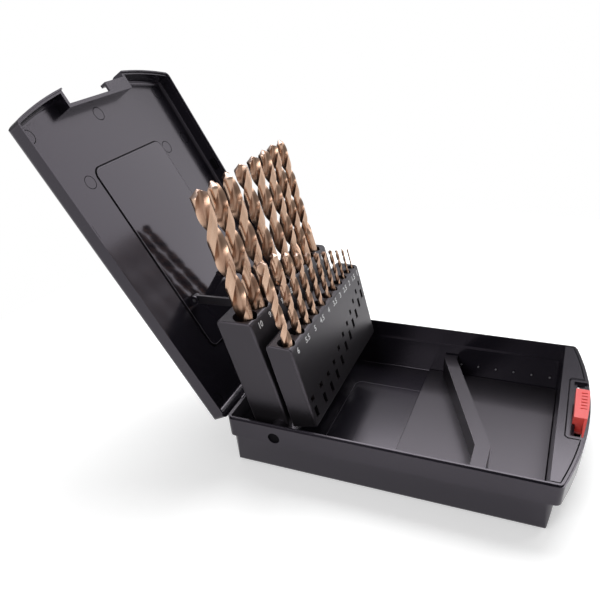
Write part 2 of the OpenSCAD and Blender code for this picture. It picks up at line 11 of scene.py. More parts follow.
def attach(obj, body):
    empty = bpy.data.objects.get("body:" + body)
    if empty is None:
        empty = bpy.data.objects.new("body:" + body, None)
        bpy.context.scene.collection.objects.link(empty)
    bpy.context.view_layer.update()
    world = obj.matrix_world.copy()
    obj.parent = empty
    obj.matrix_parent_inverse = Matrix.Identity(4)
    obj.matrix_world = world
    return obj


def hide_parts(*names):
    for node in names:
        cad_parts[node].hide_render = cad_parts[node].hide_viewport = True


MM = 0.001
WHITE = (1.0, 1.0, 1.0)
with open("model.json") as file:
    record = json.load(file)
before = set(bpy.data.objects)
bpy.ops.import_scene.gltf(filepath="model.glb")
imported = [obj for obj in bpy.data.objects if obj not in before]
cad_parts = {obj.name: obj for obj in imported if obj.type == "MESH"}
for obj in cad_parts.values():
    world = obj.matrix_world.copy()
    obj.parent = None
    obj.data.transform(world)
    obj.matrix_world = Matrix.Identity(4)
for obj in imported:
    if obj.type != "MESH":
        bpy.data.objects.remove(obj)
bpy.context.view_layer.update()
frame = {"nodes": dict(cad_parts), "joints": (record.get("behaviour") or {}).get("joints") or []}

# ---------------------------------------------------------------- camera
CAMERA_PLACE = (0.06822, -0.30781, 0.25994)
CAMERA_TURN_DEG = (54.5428, 4.2694, 22.2920)
SENSOR = 36.0
FOCAL_PIXELS = 596.52
PHOTO_PIXELS = 600
PHOTO_CENTRE = (307.51, 384.84)

camera_data = bpy.data.cameras.new("camera")
camera_data.sensor_width = SENSOR
camera_data.lens = FOCAL_PIXELS / PHOTO_PIXELS * SENSOR
camera_data.shift_x = 0.5 - PHOTO_CENTRE[0] / PHOTO_PIXELS
camera_data.shift_y = PHOTO_CENTRE[1] / PHOTO_PIXELS - 0.5
camera_data.clip_start, camera_data.clip_end = 0.01, 20.0
camera = bpy.data.objects.new("camera", camera_data)
camera.location = CAMERA_PLACE
camera.rotation_euler = [math.radians(turn) for turn in CAMERA_TURN_DEG]
bpy.context.scene.collection.objects.link(camera)
bpy.context.scene.camera = camera
bpy.context.scene.view_settings.view_transform = "Standard"


# ---------------------------------------------------------------- node trees
class Value:
    """A socket of a node tree that can be used in plain maths."""

    def __init__(self, sheet, socket):
        self.sheet = sheet
        self.socket = socket

    def other(self, name):
        """Another output of the same node."""
        return Value(self.sheet, self.socket.node.outputs[name])

    def maths(self, operation, *values):
        return self.sheet.node("ShaderNodeMath", {"operation": operation}, dict(enumerate(values)))

    def __add__(self, other):
        return self.maths("ADD", self, other)

    def __radd__(self, other):
        return self.maths("ADD", other, self)

    def __sub__(self, other):
        return self.maths("SUBTRACT", self, other)

    def __rsub__(self, other):
        return self.maths("SUBTRACT", other, self)

    def __mul__(self, other):
        return self.maths("MULTIPLY", self, other)

    def __rmul__(self, other):
        return self.maths("MULTIPLY", other, self)

    def __truediv__(self, other):
        return self.maths("DIVIDE", self, other)

    def floor(self):
        return self.maths("FLOOR", self)

    def root(self):
        return self.maths("SQRT", self.most(0.0))

    def cos(self):
        return self.maths("COSINE", self)

    def sin(self):
        return self.maths("SINE", self)

    def least(self, other):
        return self.maths("MINIMUM", self, other)

    def most(self, other):
        return self.maths("MAXIMUM", self, other)

    def above(self, other):
        return self.maths("GREATER_THAN", self, other)

    def below(self, other):
        return self.maths("LESS_THAN", self, other)

    def between(self, low, high, to_low=0.0, to_high=1.0):
        """This value's place from low to high, held at both ends."""
        inputs = {"Value": self, "From Min": low, "From Max": high, "To Min": to_low, "To Max": to_high}
        return self.sheet.node("ShaderNodeMapRange", {"clamp": True}, inputs)


class Sheet:
    """A node tree that is filled by one method."""

    def __init__(self, tree):
        self.tree = tree

    def node(self, kind, settings=None, inputs=None, out=0):
        made = self.tree.nodes.new(kind)
        for name, setting in (settings or {}).items():
            setattr(made, name, setting)
        self.feed(made, inputs or {})
        return Value(self, made.outputs[out]) if len(made.outputs) else None

    def feed(self, node, inputs):
        """Links or sets some inputs of a node."""
        for key, value in inputs.items():
            socket = node.inputs[key]
            if isinstance(value, Value):
                self.tree.links.new(value.socket, socket)
            elif isinstance(value, tuple) and socket.type == "RGBA":
                socket.default_value = (*value, 1.0)
            else:
                socket.default_value = value

    def blend(self, factor, first, second):
        """A colour between two colours."""
        return self.node("ShaderNodeMix", {"data_type": "RGBA"}, {0: factor, 6: first, 7: second}, out=2)

    def speckle(self, where, size, detail=2.0, roughness=0.5, stretch=None):
        """Noise whose features are about size metres across."""
        if stretch:
            where = self.node("ShaderNodeMapping", None, {"Vector": where, "Scale": stretch})
        inputs = {"Vector": where, "Scale": 1.0 / size, "Detail": detail, "Roughness": roughness}
        return self.node("ShaderNodeTexNoise", None, inputs)

    def attribute(self, name, out="Fac"):
        return self.node("ShaderNodeAttribute", {"attribute_name": name}, None, out=out)


def empty_sheet(holder):
    """The node tree of a material or a world, emptied."""
    holder.use_nodes = True
    holder.node_tree.nodes.clear()
    return Sheet(holder.node_tree)


def new_finish(name):
    """(material, its sheet, Object coordinates, its surface node)."""
    material = bpy.data.materials.new(name)
    sheet = empty_sheet(material)
    place = sheet.node("ShaderNodeTexCoord", None, None, out="Object")
    surface = sheet.node("ShaderNodeBsdfPrincipled")
    sheet.node("ShaderNodeOutputMaterial", None, {"Surface": surface})
    return material, sheet, place, surface.socket.node


# ---------------------------------------------------------------- finishes
SHEEN = (0.95, 0.86, 1.0)
GRAIN_SIZE = 0.32 * MM
HANDLING_SIZE = 45 * MM
WEAR_SIZE = 6 * MM
EDGE_GRAIN_LOSS = 0.7
STREAK_SIZE = 0.3 * MM
STREAK_HEIGHT = 0.006 * MM


def moulded(name, base, gloss, grain_height, edge_wear_and_highlight, level=0.5):
    """Injection moulded plastic: one tone, a fine spark-eroded grain, edges rubbed smooth and painted
    paler, partly as wear and partly as a painted highlight.
    """
    material, sheet, place, surface = new_finish(name)
    fine = sheet.speckle(place, GRAIN_SIZE, 2.0, 0.6)
    broad = sheet.speckle(place, HANDLING_SIZE, 2.0)
    edge = sheet.attribute("edge")
    # The bevelled edges are painted paler: partly rubbed wear, partly a painted highlight.
    wear_and_highlight_mask = edge * sheet.speckle(place, WEAR_SIZE, 3.0).between(0.25, 0.65)
    tone = sheet.blend(wear_and_highlight_mask, base, edge_wear_and_highlight)
    rough = gloss + 0.03 * (broad - 0.5) + 0.03 * (fine - 0.5) - 0.05 * wear_and_highlight_mask
    relief = fine * (1 - EDGE_GRAIN_LOSS * edge)
    bump = sheet.node("ShaderNodeBump", None,
                      {"Strength": 1.0, "Distance": grain_height, "Height": relief})
    sheet.feed(surface, {"Base Color": tone, "Roughness": rough, "Normal": bump,
                         "Specular IOR Level": level, "Specular Tint": SHEEN})
    return material


def twist_steel():
    """Ground cobalt steel with a bronze oxide: lands, flutes with painted shade that deepens towards
    their bottoms, and streaks along the helix.
    """
    material, sheet, place, surface = new_finish("bronze_drill_steel")
    lay = sheet.attribute("lay", "Vector")
    groove = sheet.attribute("groove")
    point = sheet.attribute("point")
    streak = sheet.speckle(lay, STREAK_SIZE, 3.0, 0.6, stretch=(1.0, 1.0, 0.04))
    hue = sheet.speckle(lay, 3.0 * MM, 2.0, 0.5, stretch=(1.0, 1.0, 0.12))
    bloom = sheet.speckle(place, 9 * MM, 2.0)
    # Painted shade: the flutes get darker towards their bottoms.
    flute_shade = groove.between(0.03, 0.5)
    land = sheet.blend(hue.between(0.3, 0.7), (0.52, 0.335, 0.235), (0.63, 0.435, 0.32))
    shaded_flute = sheet.blend(hue.between(0.3, 0.7), (0.29, 0.172, 0.118), (0.43, 0.28, 0.20))
    tone = sheet.blend(flute_shade, land, shaded_flute)
    tone = sheet.blend(bloom.between(0.55, 0.8) * 0.4, tone, (0.46, 0.27, 0.20))
    tone = sheet.blend(point * 0.6, tone, (0.58, 0.45, 0.41))
    rough = 0.28 + 0.07 * flute_shade + 0.10 * (streak - 0.5) + 0.10 * point
    bump = sheet.node("ShaderNodeBump", None,
                      {"Strength": 1.0, "Distance": STREAK_HEIGHT, "Height": streak})
    sheet.feed(surface, {"Base Color": tone, "Metallic": 1.0, "Roughness": rough, "Normal": bump})
    return material


def drawn_wire():
    """Bright drawn steel wire, streaked along the pins."""
    material, sheet, place, surface = new_finish("drawn_wire")
    streak = sheet.speckle(place, STREAK_SIZE, 3.0, 0.6, stretch=(1.0, 0.06, 1.0))
    tone = sheet.blend(streak.between(0.3, 0.7), (0.38, 0.38, 0.39), (0.56, 0.56, 0.57))
    sheet.feed(surface, {"Base Color": tone, "Metallic": 1.0, "Roughness": 0.28 + 0.2 * (streak - 0.4)})
    return material


def print_white():
    """White printing ink, a little thin in places."""
    material, sheet, place, surface = new_finish("printed_white")
    thin = sheet.speckle(place, 0.5 * MM, 3.0, 0.7)
    tone = sheet.blend(thin.between(0.35, 0.75), (0.80, 0.80, 0.81), (0.60, 0.60, 0.61))
    sheet.feed(surface, {"Base Color": tone, "Roughness": 0.55 + 0.1 * thin})
    return material


# Name, tone, roughness, height of the grain, and tone of the edges, paler for rubbed wear and a painted
# highlight
CASE = moulded("case_black", (0.0110, 0.0098, 0.0138), 0.20, 0.006 * MM, (0.030, 0.027, 0.032))
RACK = moulded("rack_black", (0.0115, 0.0105, 0.0120), 0.36, 0.012 * MM, (0.040, 0.036, 0.041))
REST = moulded("rest_black", (0.0110, 0.0100, 0.0120), 0.30, 0.010 * MM, (0.030, 0.028, 0.031))
LINK = moulded("link_black", (0.0130, 0.0120, 0.0140), 0.36, 0.010 * MM, (0.040, 0.036, 0.040))
LATCH = moulded("latch_red", (0.68, 0.075, 0.062), 0.32, 0.008 * MM, (0.80, 0.13, 0.10))
GLOSS = moulded("polished_black", (0.0095, 0.0085, 0.0120), 0.07, 0.001 * MM, (0.030, 0.027, 0.032))
# Painted highlight: a paler black for thin strips that stand for light caught on the panels' step edges.
HIGHLIGHT_GREY = moulded("painted_highlight_black", (0.055, 0.051, 0.060), 0.30, 0.002 * MM, (0.060, 0.056, 0.066))
# Near-black matte: painted shade in holes, grooves, slots and under steps, and the dark seams of the
# ejector rings.
SHADE_AND_SEAM_BLACK = moulded("painted_shade_and_seam_black", (0.0030, 0.0030, 0.0035), 0.8, 0.004 * MM, (0.004, 0.004, 0.004), level=0.08)
# Painted highlight: a pale grey for the small domes on the tray's pips.
PIP_HIGHLIGHT = moulded("pip_painted_highlight", (0.16, 0.16, 0.17), 0.2, 0.001 * MM, (0.16, 0.16, 0.17))
STEEL = twist_steel()
WIRE = drawn_wire()
PRINT = print_white()


# ---------------------------------------------------------------- pieces from the frame
def linked(name, data):
    """A new object in the scene."""
    made = bpy.data.objects.new(name, data)
    bpy.context.scene.collection.objects.link(made)
    return made


def add_piece(name, mesh, body, nodes=()):
    """A finished mesh that rides on a body and stands for its nodes."""
    piece = linked(name, mesh)
    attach(piece, body)
    if nodes:
        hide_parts(*nodes)
    return piece


def evaluated_mesh(holder):
    """The mesh that an object's modifiers or its curves make. The object itself is removed."""
    bpy.context.view_layer.update()
    graph = bpy.context.evaluated_depsgraph_get()
    mesh = bpy.data.meshes.new_from_object(holder.evaluated_get(graph), depsgraph=graph)
    holder.modifiers.clear()
    bpy.data.objects.remove(holder)
    return mesh


MERGE_DISTANCE = 0.004 * MM
FLAT = math.radians(0.6)
SHARP = math.radians(32.0)
SHADED_SHARP = math.radians(38.0)
RACK_HALF_WIDTH = 57.7 * MM
BROAD_RADIUS = 1.2 * MM


def tidy_copy(node, is_broad):
    """A CAD node's mesh, merged, with its flat faces joined up and its broad edges marked."""
    mesh = frame["nodes"][node].data.copy()
    work = bmesh.new()
    work.from_mesh(mesh)
    bmesh.ops.remove_doubles(work, verts=work.verts, dist=MERGE_DISTANCE)
    bmesh.ops.dissolve_degenerate(work, edges=work.edges, dist=MERGE_DISTANCE)
    bmesh.ops.dissolve_limit(work, angle_limit=FLAT, verts=work.verts, edges=work.edges, delimit=set())
    weight = work.edges.layers.float.new("bevel_weight_edge")
    for edge in work.edges:
        edge[weight] = 1.0 if is_broad(edge) else 0.0
    work.to_mesh(mesh)
    work.free()
    return mesh


def mark_edges(mesh):
    """Turns the second material of the bevelled faces into an attribute that is 1 on the edges painted
    paler, as wear and as a painted highlight.
    """
    slots = np.zeros(len(mesh.polygons), np.int32)
    mesh.polygons.foreach_get("material_index", slots)
    edge_wear_and_highlight = (slots == 1).astype(np.float32)
    mesh.attributes.new("edge", "FLOAT", "FACE").data.foreach_set("value", edge_wear_and_highlight)
    mesh.polygons.foreach_set("material_index", np.zeros(len(mesh.polygons), np.int32))
    mesh.materials.pop(index=1)


def modified(mesh, kind, settings):
    """The mesh after one modifier."""
    holder = linked("work", mesh)
    modifier = holder.modifiers.new("work", kind)
    for name, setting in settings.items():
        setattr(modifier, name, setting)
    return evaluated_mesh(holder)


def on_rack_end(edge):
    """Whether a raised edge runs round the near or the far end of the racks."""
    first, second = (vertex.co.y for vertex in edge.verts)
    at_end = all(abs(abs(y) - RACK_HALF_WIDTH) < 0.02 * MM for y in (first, second))
    return at_end and first * second > 0 and edge.is_convex


def nowhere(edge):
    """No edge has the broad radius."""
    return False


def soften(node, body, slot_name, finish, radius, is_broad=nowhere):
    """Gives a CAD node the small rounded edges of a moulding, and broader ones where is_broad says."""
    mesh = tidy_copy(node, is_broad)
    mesh.materials.clear()
    for _ in ("faces", "edges"):
        mesh.materials.append(finish)
    mesh.polygons.foreach_set("material_index", np.zeros(len(mesh.polygons), np.int32))
    mesh.shade_smooth()
    soft = modified(mesh, "BEVEL", {"width": BROAD_RADIUS, "segments": 4, "limit_method": "WEIGHT",
                                    "use_clamp_overlap": False, "material": 1})
    soft = modified(soft, "BEVEL", {"width": radius, "segments": 2, "limit_method": "ANGLE",
                                    "angle_limit": SHARP, "use_clamp_overlap": True, "material": 1})
    mark_edges(soft)
    soft.set_sharp_from_angle(angle=SHADED_SHARP)
    soft = modified(soft, "WEIGHTED_NORMAL", {"mode": "FACE_AREA", "weight": 100, "keep_sharp": True})
    add_piece(node + "_moulding", soft, body, (node,))


MOULDINGS = [
    # Node, body, slot, finish, edge radius, and the rule for the edges that have the broad radius
    ("tray", "case_base", "case_plastic", CASE, 0.30 * MM),
    ("lid", "lid", "case_plastic", CASE, 0.30 * MM),
    ("drill_rest", "case_base", "rest_plastic", REST, 0.35 * MM),
    ("rack_rear", "racks", "rack_plastic", RACK, 0.30 * MM, on_rack_end),
    ("rack_front", "racks", "rack_plastic", RACK, 0.30 * MM, on_rack_end),
    ("latch", "latch", "latch_plastic", LATCH, 0.35 * MM),
    ("link_near", "link_near", "link_plastic", LINK, 0.30 * MM),
    ("link_far", "link_far", "link_plastic", LINK, 0.30 * MM),
]
for moulding in MOULDINGS:
    soften(*moulding)
for node in ("hinge_pins", "rack_pivot_pins", "rack_link_pins", "lid_link_pins"):
    wire = frame["nodes"][node]
    wire.data.materials.clear()
    # The pivot pins' outer ends are painted near-black, as the shade of deep holes in the walls.
    wire.data.materials.append(SHADE_AND_SEAM_BLACK if node == "rack_pivot_pins" else WIRE)

# ---------------------------------------------------------------- twist drills
AROUND_FLUTE = 14
AROUND_LAND = 10
AROUND = 2 * (AROUND_FLUTE + AROUND_LAND)
ROWS_BUTT = 2
ROWS_BODY = 150
ROWS_POINT = 14
ROWS = ROWS_BUTT + ROWS_BODY + ROWS_POINT
FLUTE_ARC = 0.365
FLUTE_CENTRE = 0.49
FLUTE_HALF = math.acos((FLUTE_CENTRE**2 + 0.25 - FLUTE_ARC**2) / FLUTE_CENTRE)
LAND_RELIEF = 0.972
POINT_SLOPE = math.tan(math.radians(59.0))
LEAD_PER_DIAMETER = 5.44
BUTT_CHAMFER = 0.06
FLUTE_RUN_OUT = 1.3
POINT_BACKED_OFF = 0.05
ROUNDING = 1e-4


def drill_tree():
    """A twist drill along +Z from its butt at the origin, made from a flat grid wound round."""
    tree = bpy.data.node_groups.new("twist_drill", "GeometryNodeTree")
    for name in ("Diameter", "Length", "Fluted length", "Lead", "Phase"):
        tree.interface.new_socket(name, in_out="INPUT", socket_type="NodeSocketFloat")
    tree.interface.new_socket("Finish", in_out="INPUT", socket_type="NodeSocketMaterial")
    tree.interface.new_socket("Drill", in_out="OUTPUT", socket_type="NodeSocketGeometry")
    sheet = Sheet(tree)
    given = sheet.node("NodeGroupInput")
    diameter, length = given.other("Diameter"), given.other("Length")
    fluted, lead, phase = given.other("Fluted length"), given.other("Lead"), given.other("Phase")
    radius = diameter * 0.5

    grid = sheet.node("GeometryNodeMeshGrid", None, {"Vertices X": AROUND + 1, "Vertices Y": ROWS + 1})
    index = sheet.node("GeometryNodeInputIndex")
    column = (index / (ROWS + 1) + ROUNDING).floor()
    row = index - column * (ROWS + 1)

    # Round the drill: each half turn is one flute, then one land with a narrow margin at full size
    half_turn = AROUND_FLUTE + AROUND_LAND
    half = (column / half_turn + ROUNDING).floor()
    step = column - half * half_turn
    flute_angle = step.between(0, AROUND_FLUTE, -FLUTE_HALF, FLUTE_HALF)
    land_angle = step.between(AROUND_FLUTE, half_turn, 0.0, math.pi - 2 * FLUTE_HALF)
    offset = flute_angle + land_angle
    in_flute = step.below(AROUND_FLUTE + 0.5)
    behind_margin = step.above(AROUND_FLUTE + 1.5) * step.below(half_turn - 0.5)

    # Along the drill: chamfered butt, body, coned point
    butt = diameter * BUTT_CHAMFER
    point = radius / POINT_SLOPE
    along = (row.between(0, ROWS_BUTT) * butt
             + row.between(ROWS_BUTT, ROWS_BUTT + ROWS_BODY) * (length - butt - point)
             + row.between(ROWS_BUTT + ROWS_BODY, ROWS) * point)
    start = length - fluted
    ground = along.between(start, start + FLUTE_RUN_OUT * diameter)
    ground = ground * ground * (3 - 2 * ground)

    # Radius: the flute's arc, the land and the cone of the point
    centre, arc = diameter * FLUTE_CENTRE, diameter * FLUTE_ARC
    across = centre * offset.sin()
    bottom = centre * offset.cos() - (arc * arc - across * across).root()
    hollow = bottom.least(radius) * in_flute + radius * (1 - in_flute)
    relief = 1 - (1 - LAND_RELIEF) * behind_margin * ground
    section = (hollow * ground + radius * (1 - ground)) * relief
    backed_off = offset.between(FLUTE_HALF, math.pi - FLUTE_HALF) * diameter * POINT_BACKED_OFF
    cone = ((length - along - backed_off) * POINT_SLOPE).most(0.0)
    foot = radius - butt + along
    reach = section.least(cone).least(foot) * row.above(0.5)

    # The winding itself
    angle = half * math.pi + offset + phase + 2 * math.pi * (along - length) / lead
    place = sheet.node("ShaderNodeCombineXYZ", None,
                       {"X": reach * angle.cos(), "Y": reach * angle.sin(), "Z": along})
    shape = sheet.node("GeometryNodeSetPosition", None, {"Geometry": grid, "Position": place})

    # Where each point lay before the winding, for streaks that follow the helix
    flat = half * math.pi + offset
    lay = sheet.node("ShaderNodeCombineXYZ", None,
                     {"X": radius * flat.cos(), "Y": radius * flat.sin(), "Z": along})
    records = (("groove", "FLOAT", 1 - section / radius), ("lay", "FLOAT_VECTOR", lay),
               ("point", "FLOAT", cone.below(section * 0.995)))
    for name, kind, value in records:
        shape = sheet.node("GeometryNodeStoreNamedAttribute", {"data_type": kind, "domain": "POINT"},
                           {"Geometry": shape, "Name": name, "Value": value})
    shape = sheet.node("GeometryNodeMergeByDistance", None, {"Geometry": shape, "Distance": 1e-7})
    shape = sheet.node("GeometryNodeRealizeInstances", None, {"Geometry": shape})
    shape = sheet.node("GeometryNodeSetMaterial", None,
                       {"Geometry": shape, "Material": given.other("Finish")})
    sheet.node("NodeGroupOutput", None, {"Drill": shape})
    return tree


def grown(name, tree, settings, base=None):
    """The mesh that a geometry tree makes from its named inputs."""
    holder = linked(name, base or bpy.data.meshes.new(name))
    modifier = holder.modifiers.new(name, "NODES")
    modifier.node_group = tree
    for item in tree.interface.items_tree:
        if item.in_out == "INPUT" and item.name in settings:
            modifier[item.identifier] = settings[item.name]
    return evaluated_mesh(holder)


def placed(origin, right, up, out):
    """The matrix that lays X, Y and Z along three unit vectors from an origin."""
    return Matrix.Translation(origin) @ Matrix((right, up, out)).transposed().to_4x4()


ACROSS = Vector((0, 1, 0))
# Standard fluted length in mm for each diameter, and the turn that each drill stands at
FLUTED = {1.0: 12, 1.5: 18, 2.0: 24, 2.5: 30, 3.0: 33, 3.5: 39, 4.0: 43, 4.5: 47, 5.0: 52, 5.5: 57,
          6.0: 57, 6.5: 63, 7.0: 69, 7.5: 69, 8.0: 75, 8.5: 75, 9.0: 81, 9.5: 81, 10.0: 87}
FLUTE_PHASE_DEG = {10.0: 0, 9.5: 53, 9.0: 63, 8.5: 145, 8.0: 177, 7.5: 25, 7.0: 170, 6.5: 45, 6.0: 130}
OTHER_PHASE_DEG = 47
BUTT_DEPTH = 0.2 * MM
TREE = drill_tree()
for joint in frame["joints"]:
    body = joint["child"]
    if not body.startswith("drill_"):
        continue
    size = float(body[len("drill_"):].replace("_", "."))
    axis = Vector(joint["axis"]).normalized()
    side = ACROSS.cross(axis).normalized()
    along = -axis if axis.z < 0 else axis
    corners = np.array([v.co for v in frame["nodes"][body].data.vertices])
    heights = corners @ np.array(along)
    low, high = heights.min(), heights.max()
    shank = corners[heights < low + BUTT_DEPTH]
    centre = Vector((shank.max(0) + shank.min(0)) / 2)
    foot = centre + along * (low - centre.dot(along))
    phase = math.radians(FLUTE_PHASE_DEG.get(size, OTHER_PHASE_DEG * size))
    mesh = grown(body + "_steel", TREE, {
        "Diameter": size * MM, "Length": float(high - low), "Fluted length": FLUTED[size] * MM,
        "Lead": LEAD_PER_DIAMETER * size * MM, "Phase": phase, "Finish": STEEL})
    mesh.transform(placed(foot, side, along.cross(side), along))
    mesh.set_sharp_from_angle(angle=SHADED_SHARP)
    add_piece(body + "_steel", mesh, body, (body,))


# ---------------------------------------------------------------- places in mm on the mouldings
CASE_MID = Vector((101.5, 69.0, 0.0))
HINGE_HEIGHT = 35.7
LID_OPEN = math.radians(118.0)
RACK_PIVOT = Vector((30.9, 0.0, 27.6))
RACK_LEAN = math.radians(13.0)


def in_lid(x, y, z):
    """A point of the closed lid, in mm from the hinge edge, as it stands open."""
    up = z - HINGE_HEIGHT
    turned = Vector((x * math.cos(LID_OPEN) - up * math.sin(LID_OPEN), y,
                     x * math.sin(LID_OPEN) + up * math.cos(LID_OPEN) + HINGE_HEIGHT))
    return (turned - CASE_MID) * MM


def in_rack(n, y, u):
    """A point of the rack: n before its pivot, u above it along its lean."""
    leaning = Vector((n * math.cos(RACK_LEAN) - u * math.sin(RACK_LEAN), y,
                      n * math.sin(RACK_LEAN) + u * math.cos(RACK_LEAN)))
    return (RACK_PIVOT + leaning - CASE_MID) * MM


def in_case(x, y, z):
    """A point of the tray, from the hinge end, the near side and the underside."""
    return (Vector((x, y, z)) - CASE_MID) * MM


# ---------------------------------------------------------------- printed sizes
PRINT_HEIGHT = 3.5 * MM
PRINT_DEPTH = 0.06 * MM
PRINT_BOLD = 0.11 * MM
DIGIT_SHARE = 0.7


def printed(text, origin, up):
    """A size lying on a rack's face, centred at origin."""
    name = "size_" + text
    curve = bpy.data.curves.new(name, "FONT")
    curve.body = text
    curve.size = PRINT_HEIGHT / DIGIT_SHARE
    curve.align_x = "CENTER"
    curve.align_y = "CENTER"
    curve.extrude = PRINT_DEPTH / 2
    curve.offset = PRINT_BOLD
    curve.resolution_u = 3
    curve.space_character = 1.05
    mesh = evaluated_mesh(linked(name, curve))
    mesh.materials.clear()
    mesh.materials.append(PRINT)
    mesh.transform(placed(origin, ACROSS, up, ACROSS.cross(up)))
    add_piece(name, mesh, "racks")


# The front rack's face is square to it, and the rear rack's leans from its foot to its brow
RACK_UP = (in_rack(0, 0, 1) - in_rack(0, 0, 0)).normalized()
FRONT_FACE = 25.02
FRONT_PRINT = 49.0
FRONT_PLACES = {"6": 18.5, "5.5": 32.5, "5": 44.5, "4.5": 56, "4": 67.5, "3.5": 78.5, "3": 88.5,
                "2.5": 97.7, "2": 106.3, "1.5": 114.7, "1": 122.5}
for size, y in FRONT_PLACES.items():
    printed(size, in_rack(FRONT_FACE, y, FRONT_PRINT), RACK_UP)
REAR_PRINT = 66.0
REAR_FOOT = (5.9, 31.0)
REAR_BROW = (4.85, 71.2)
REAR_LIFT = 0.04
REAR_PLACES = {"10": 20.8, "9.5": 35.3, "9": 50.8, "8.5": 66.5, "8": 81.7, "7.5": 95.5, "7": 107.5,
               "6.5": 118.7}
rear_share = (REAR_PRINT - REAR_FOOT[1]) / (REAR_BROW[1] - REAR_FOOT[1])
rear_face = REAR_FOOT[0] + rear_share * (REAR_BROW[0] - REAR_FOOT[0])
rear_up = (in_rack(REAR_BROW[0], 0, REAR_BROW[1]) - in_rack(REAR_FOOT[0], 0, REAR_FOOT[1])).normalized()
for size, y in REAR_PLACES.items():
    printed(size, in_rack(rear_face + REAR_LIFT, y, REAR_PRINT), rear_up)


# ---------------------------------------------------------------- ejector marks
def ring_tree():
    """A thin raised ring at each vertex of the mesh it is given, lying square to Z."""
    tree = bpy.data.node_groups.new("ejector_marks", "GeometryNodeTree")
    tree.interface.new_socket("Places", in_out="INPUT", socket_type="NodeSocketGeometry")
    for name in ("Radius", "Width"):
        tree.interface.new_socket(name, in_out="INPUT", socket_type="NodeSocketFloat")
    tree.interface.new_socket("Finish", in_out="INPUT", socket_type="NodeSocketMaterial")
    tree.interface.new_socket("Marks", in_out="OUTPUT", socket_type="NodeSocketGeometry")
    sheet = Sheet(tree)
    given = sheet.node("NodeGroupInput")
    path = sheet.node("GeometryNodeCurvePrimitiveCircle", None,
                      {"Resolution": 48, "Radius": given.other("Radius")})
    wire = sheet.node("GeometryNodeCurvePrimitiveCircle", None,
                      {"Resolution": 6, "Radius": given.other("Width")})
    ring = sheet.node("GeometryNodeCurveToMesh", None, {"Curve": path, "Profile Curve": wire})
    ring = sheet.node("GeometryNodeTransform", None, {"Geometry": ring, "Scale": (1.0, 1.0, 0.35)})
    points = sheet.node("GeometryNodeMeshToPoints", None, {"Mesh": given.other("Places")})
    rings = sheet.node("GeometryNodeInstanceOnPoints", None, {"Points": points, "Instance": ring})
    rings = sheet.node("GeometryNodeRealizeInstances", None, {"Geometry": rings})
    rings = sheet.node("GeometryNodeSetMaterial", None,
                       {"Geometry": rings, "Material": given.other("Finish")})
    sheet.node("NodeGroupOutput", None, {"Marks": rings})
    return tree


LID_INNER = 45.7
LID_MARKS = [(186, 9.7), (185.5, 67), (186, 128.6), (153.5, 28.6), (153, 106.5), (153.5, 129),
             (8.5, 12.6), (8.5, 125.4)]
MARK_RADIUS, MARK_WIDTH = 3.8 * MM, 0.20 * MM
LID_UP = (in_lid(1, 0, 0) - in_lid(0, 0, 0)).normalized()
ring_places = bpy.data.meshes.new("ring_places")
ring_places.from_pydata([(y * MM, x * MM, 0) for x, y in LID_MARKS], [], [])
rings = grown("lid_marks", ring_tree(), {"Radius": MARK_RADIUS, "Width": MARK_WIDTH, "Finish": SHADE_AND_SEAM_BLACK},
              ring_places)
rings.transform(placed(in_lid(0, 0, LID_INNER), ACROSS, LID_UP, ACROSS.cross(LID_UP)))
add_piece("lid_ejector_marks", rings, "lid")

# ---------------------------------------------------------------- painted highlights on edges, and painted shade in grooves
CORNER_STEPS = 6


def rounded_box(low, high, radius):
    """The outline of a box with rounded corners, anticlockwise."""
    points = []
    corners = ((high[0], low[1], -90), (high[0], high[1], 0),
               (low[0], high[1], 90), (low[0], low[1], 180))
    for x, y, start in corners:
        cx = x - radius if x == high[0] else x + radius
        cy = y - radius if y == high[1] else y + radius
        for step in range(CORNER_STEPS + 1):
            angle = math.radians(start + 90 * step / CORNER_STEPS)
            points.append((cx + radius * math.cos(angle), cy + radius * math.sin(angle)))
    return points


def ribbon(points, width, closed):
    """Left and right borders of a flat strip that follows the points."""
    count = len(points)
    borders = []
    for i, (x, y) in enumerate(points):
        before = points[i - 1] if closed or i else points[i]
        after = points[(i + 1) % count] if closed or i < count - 1 else points[i]
        along = Vector((after[0] - before[0], after[1] - before[1])).normalized()
        borders.append([(x - along.y * side, y + along.x * side) for side in (width / 2, -width / 2)])
    return borders


def add_case_piece(name, mesh, finish, body):
    """A finished mesh on the case, in the finish it is given, with no edges painted paler for wear and
    highlight.
    """
    mesh.materials.append(finish)
    mesh.attributes.new("edge", "FLOAT", "FACE")
    add_piece(name, mesh, body)


def surface_piece(name, flat, faces, side, height, finish):
    """A thin surface laid on one side of the case, given as its places, its outward way and its body."""
    place, outwards, body = side
    mesh = bpy.data.meshes.new(name)
    mesh.from_pydata([place(x, y, height) for x, y in flat], [], faces)
    mesh.update()
    if mesh.polygons[0].normal.dot(outwards) < 0:
        mesh.flip_normals()
    add_case_piece(name, mesh, finish, body)


def strip(name, points, width, side, height, finish, closed=True):
    """A flat strip along the points."""
    borders = ribbon(points, width, closed)
    count = len(borders)
    flat = [point for pair in borders for point in pair]
    spans = count if closed else count - 1
    ends = 2 * count
    faces = [(2 * i, 2 * i + 1, (2 * i + 3) % ends, (2 * i + 2) % ends) for i in range(spans)]
    surface_piece(name, flat, faces, side, height, finish)


LID_INWARDS = (in_lid(0, 0, 0) - in_lid(0, 0, 1)).normalized()
LID_INSIDE = (in_lid, LID_INWARDS, "lid")
TRAY_INSIDE = (in_case, Vector((0, 0, 1)), "case_base")
LIFT = 0.03

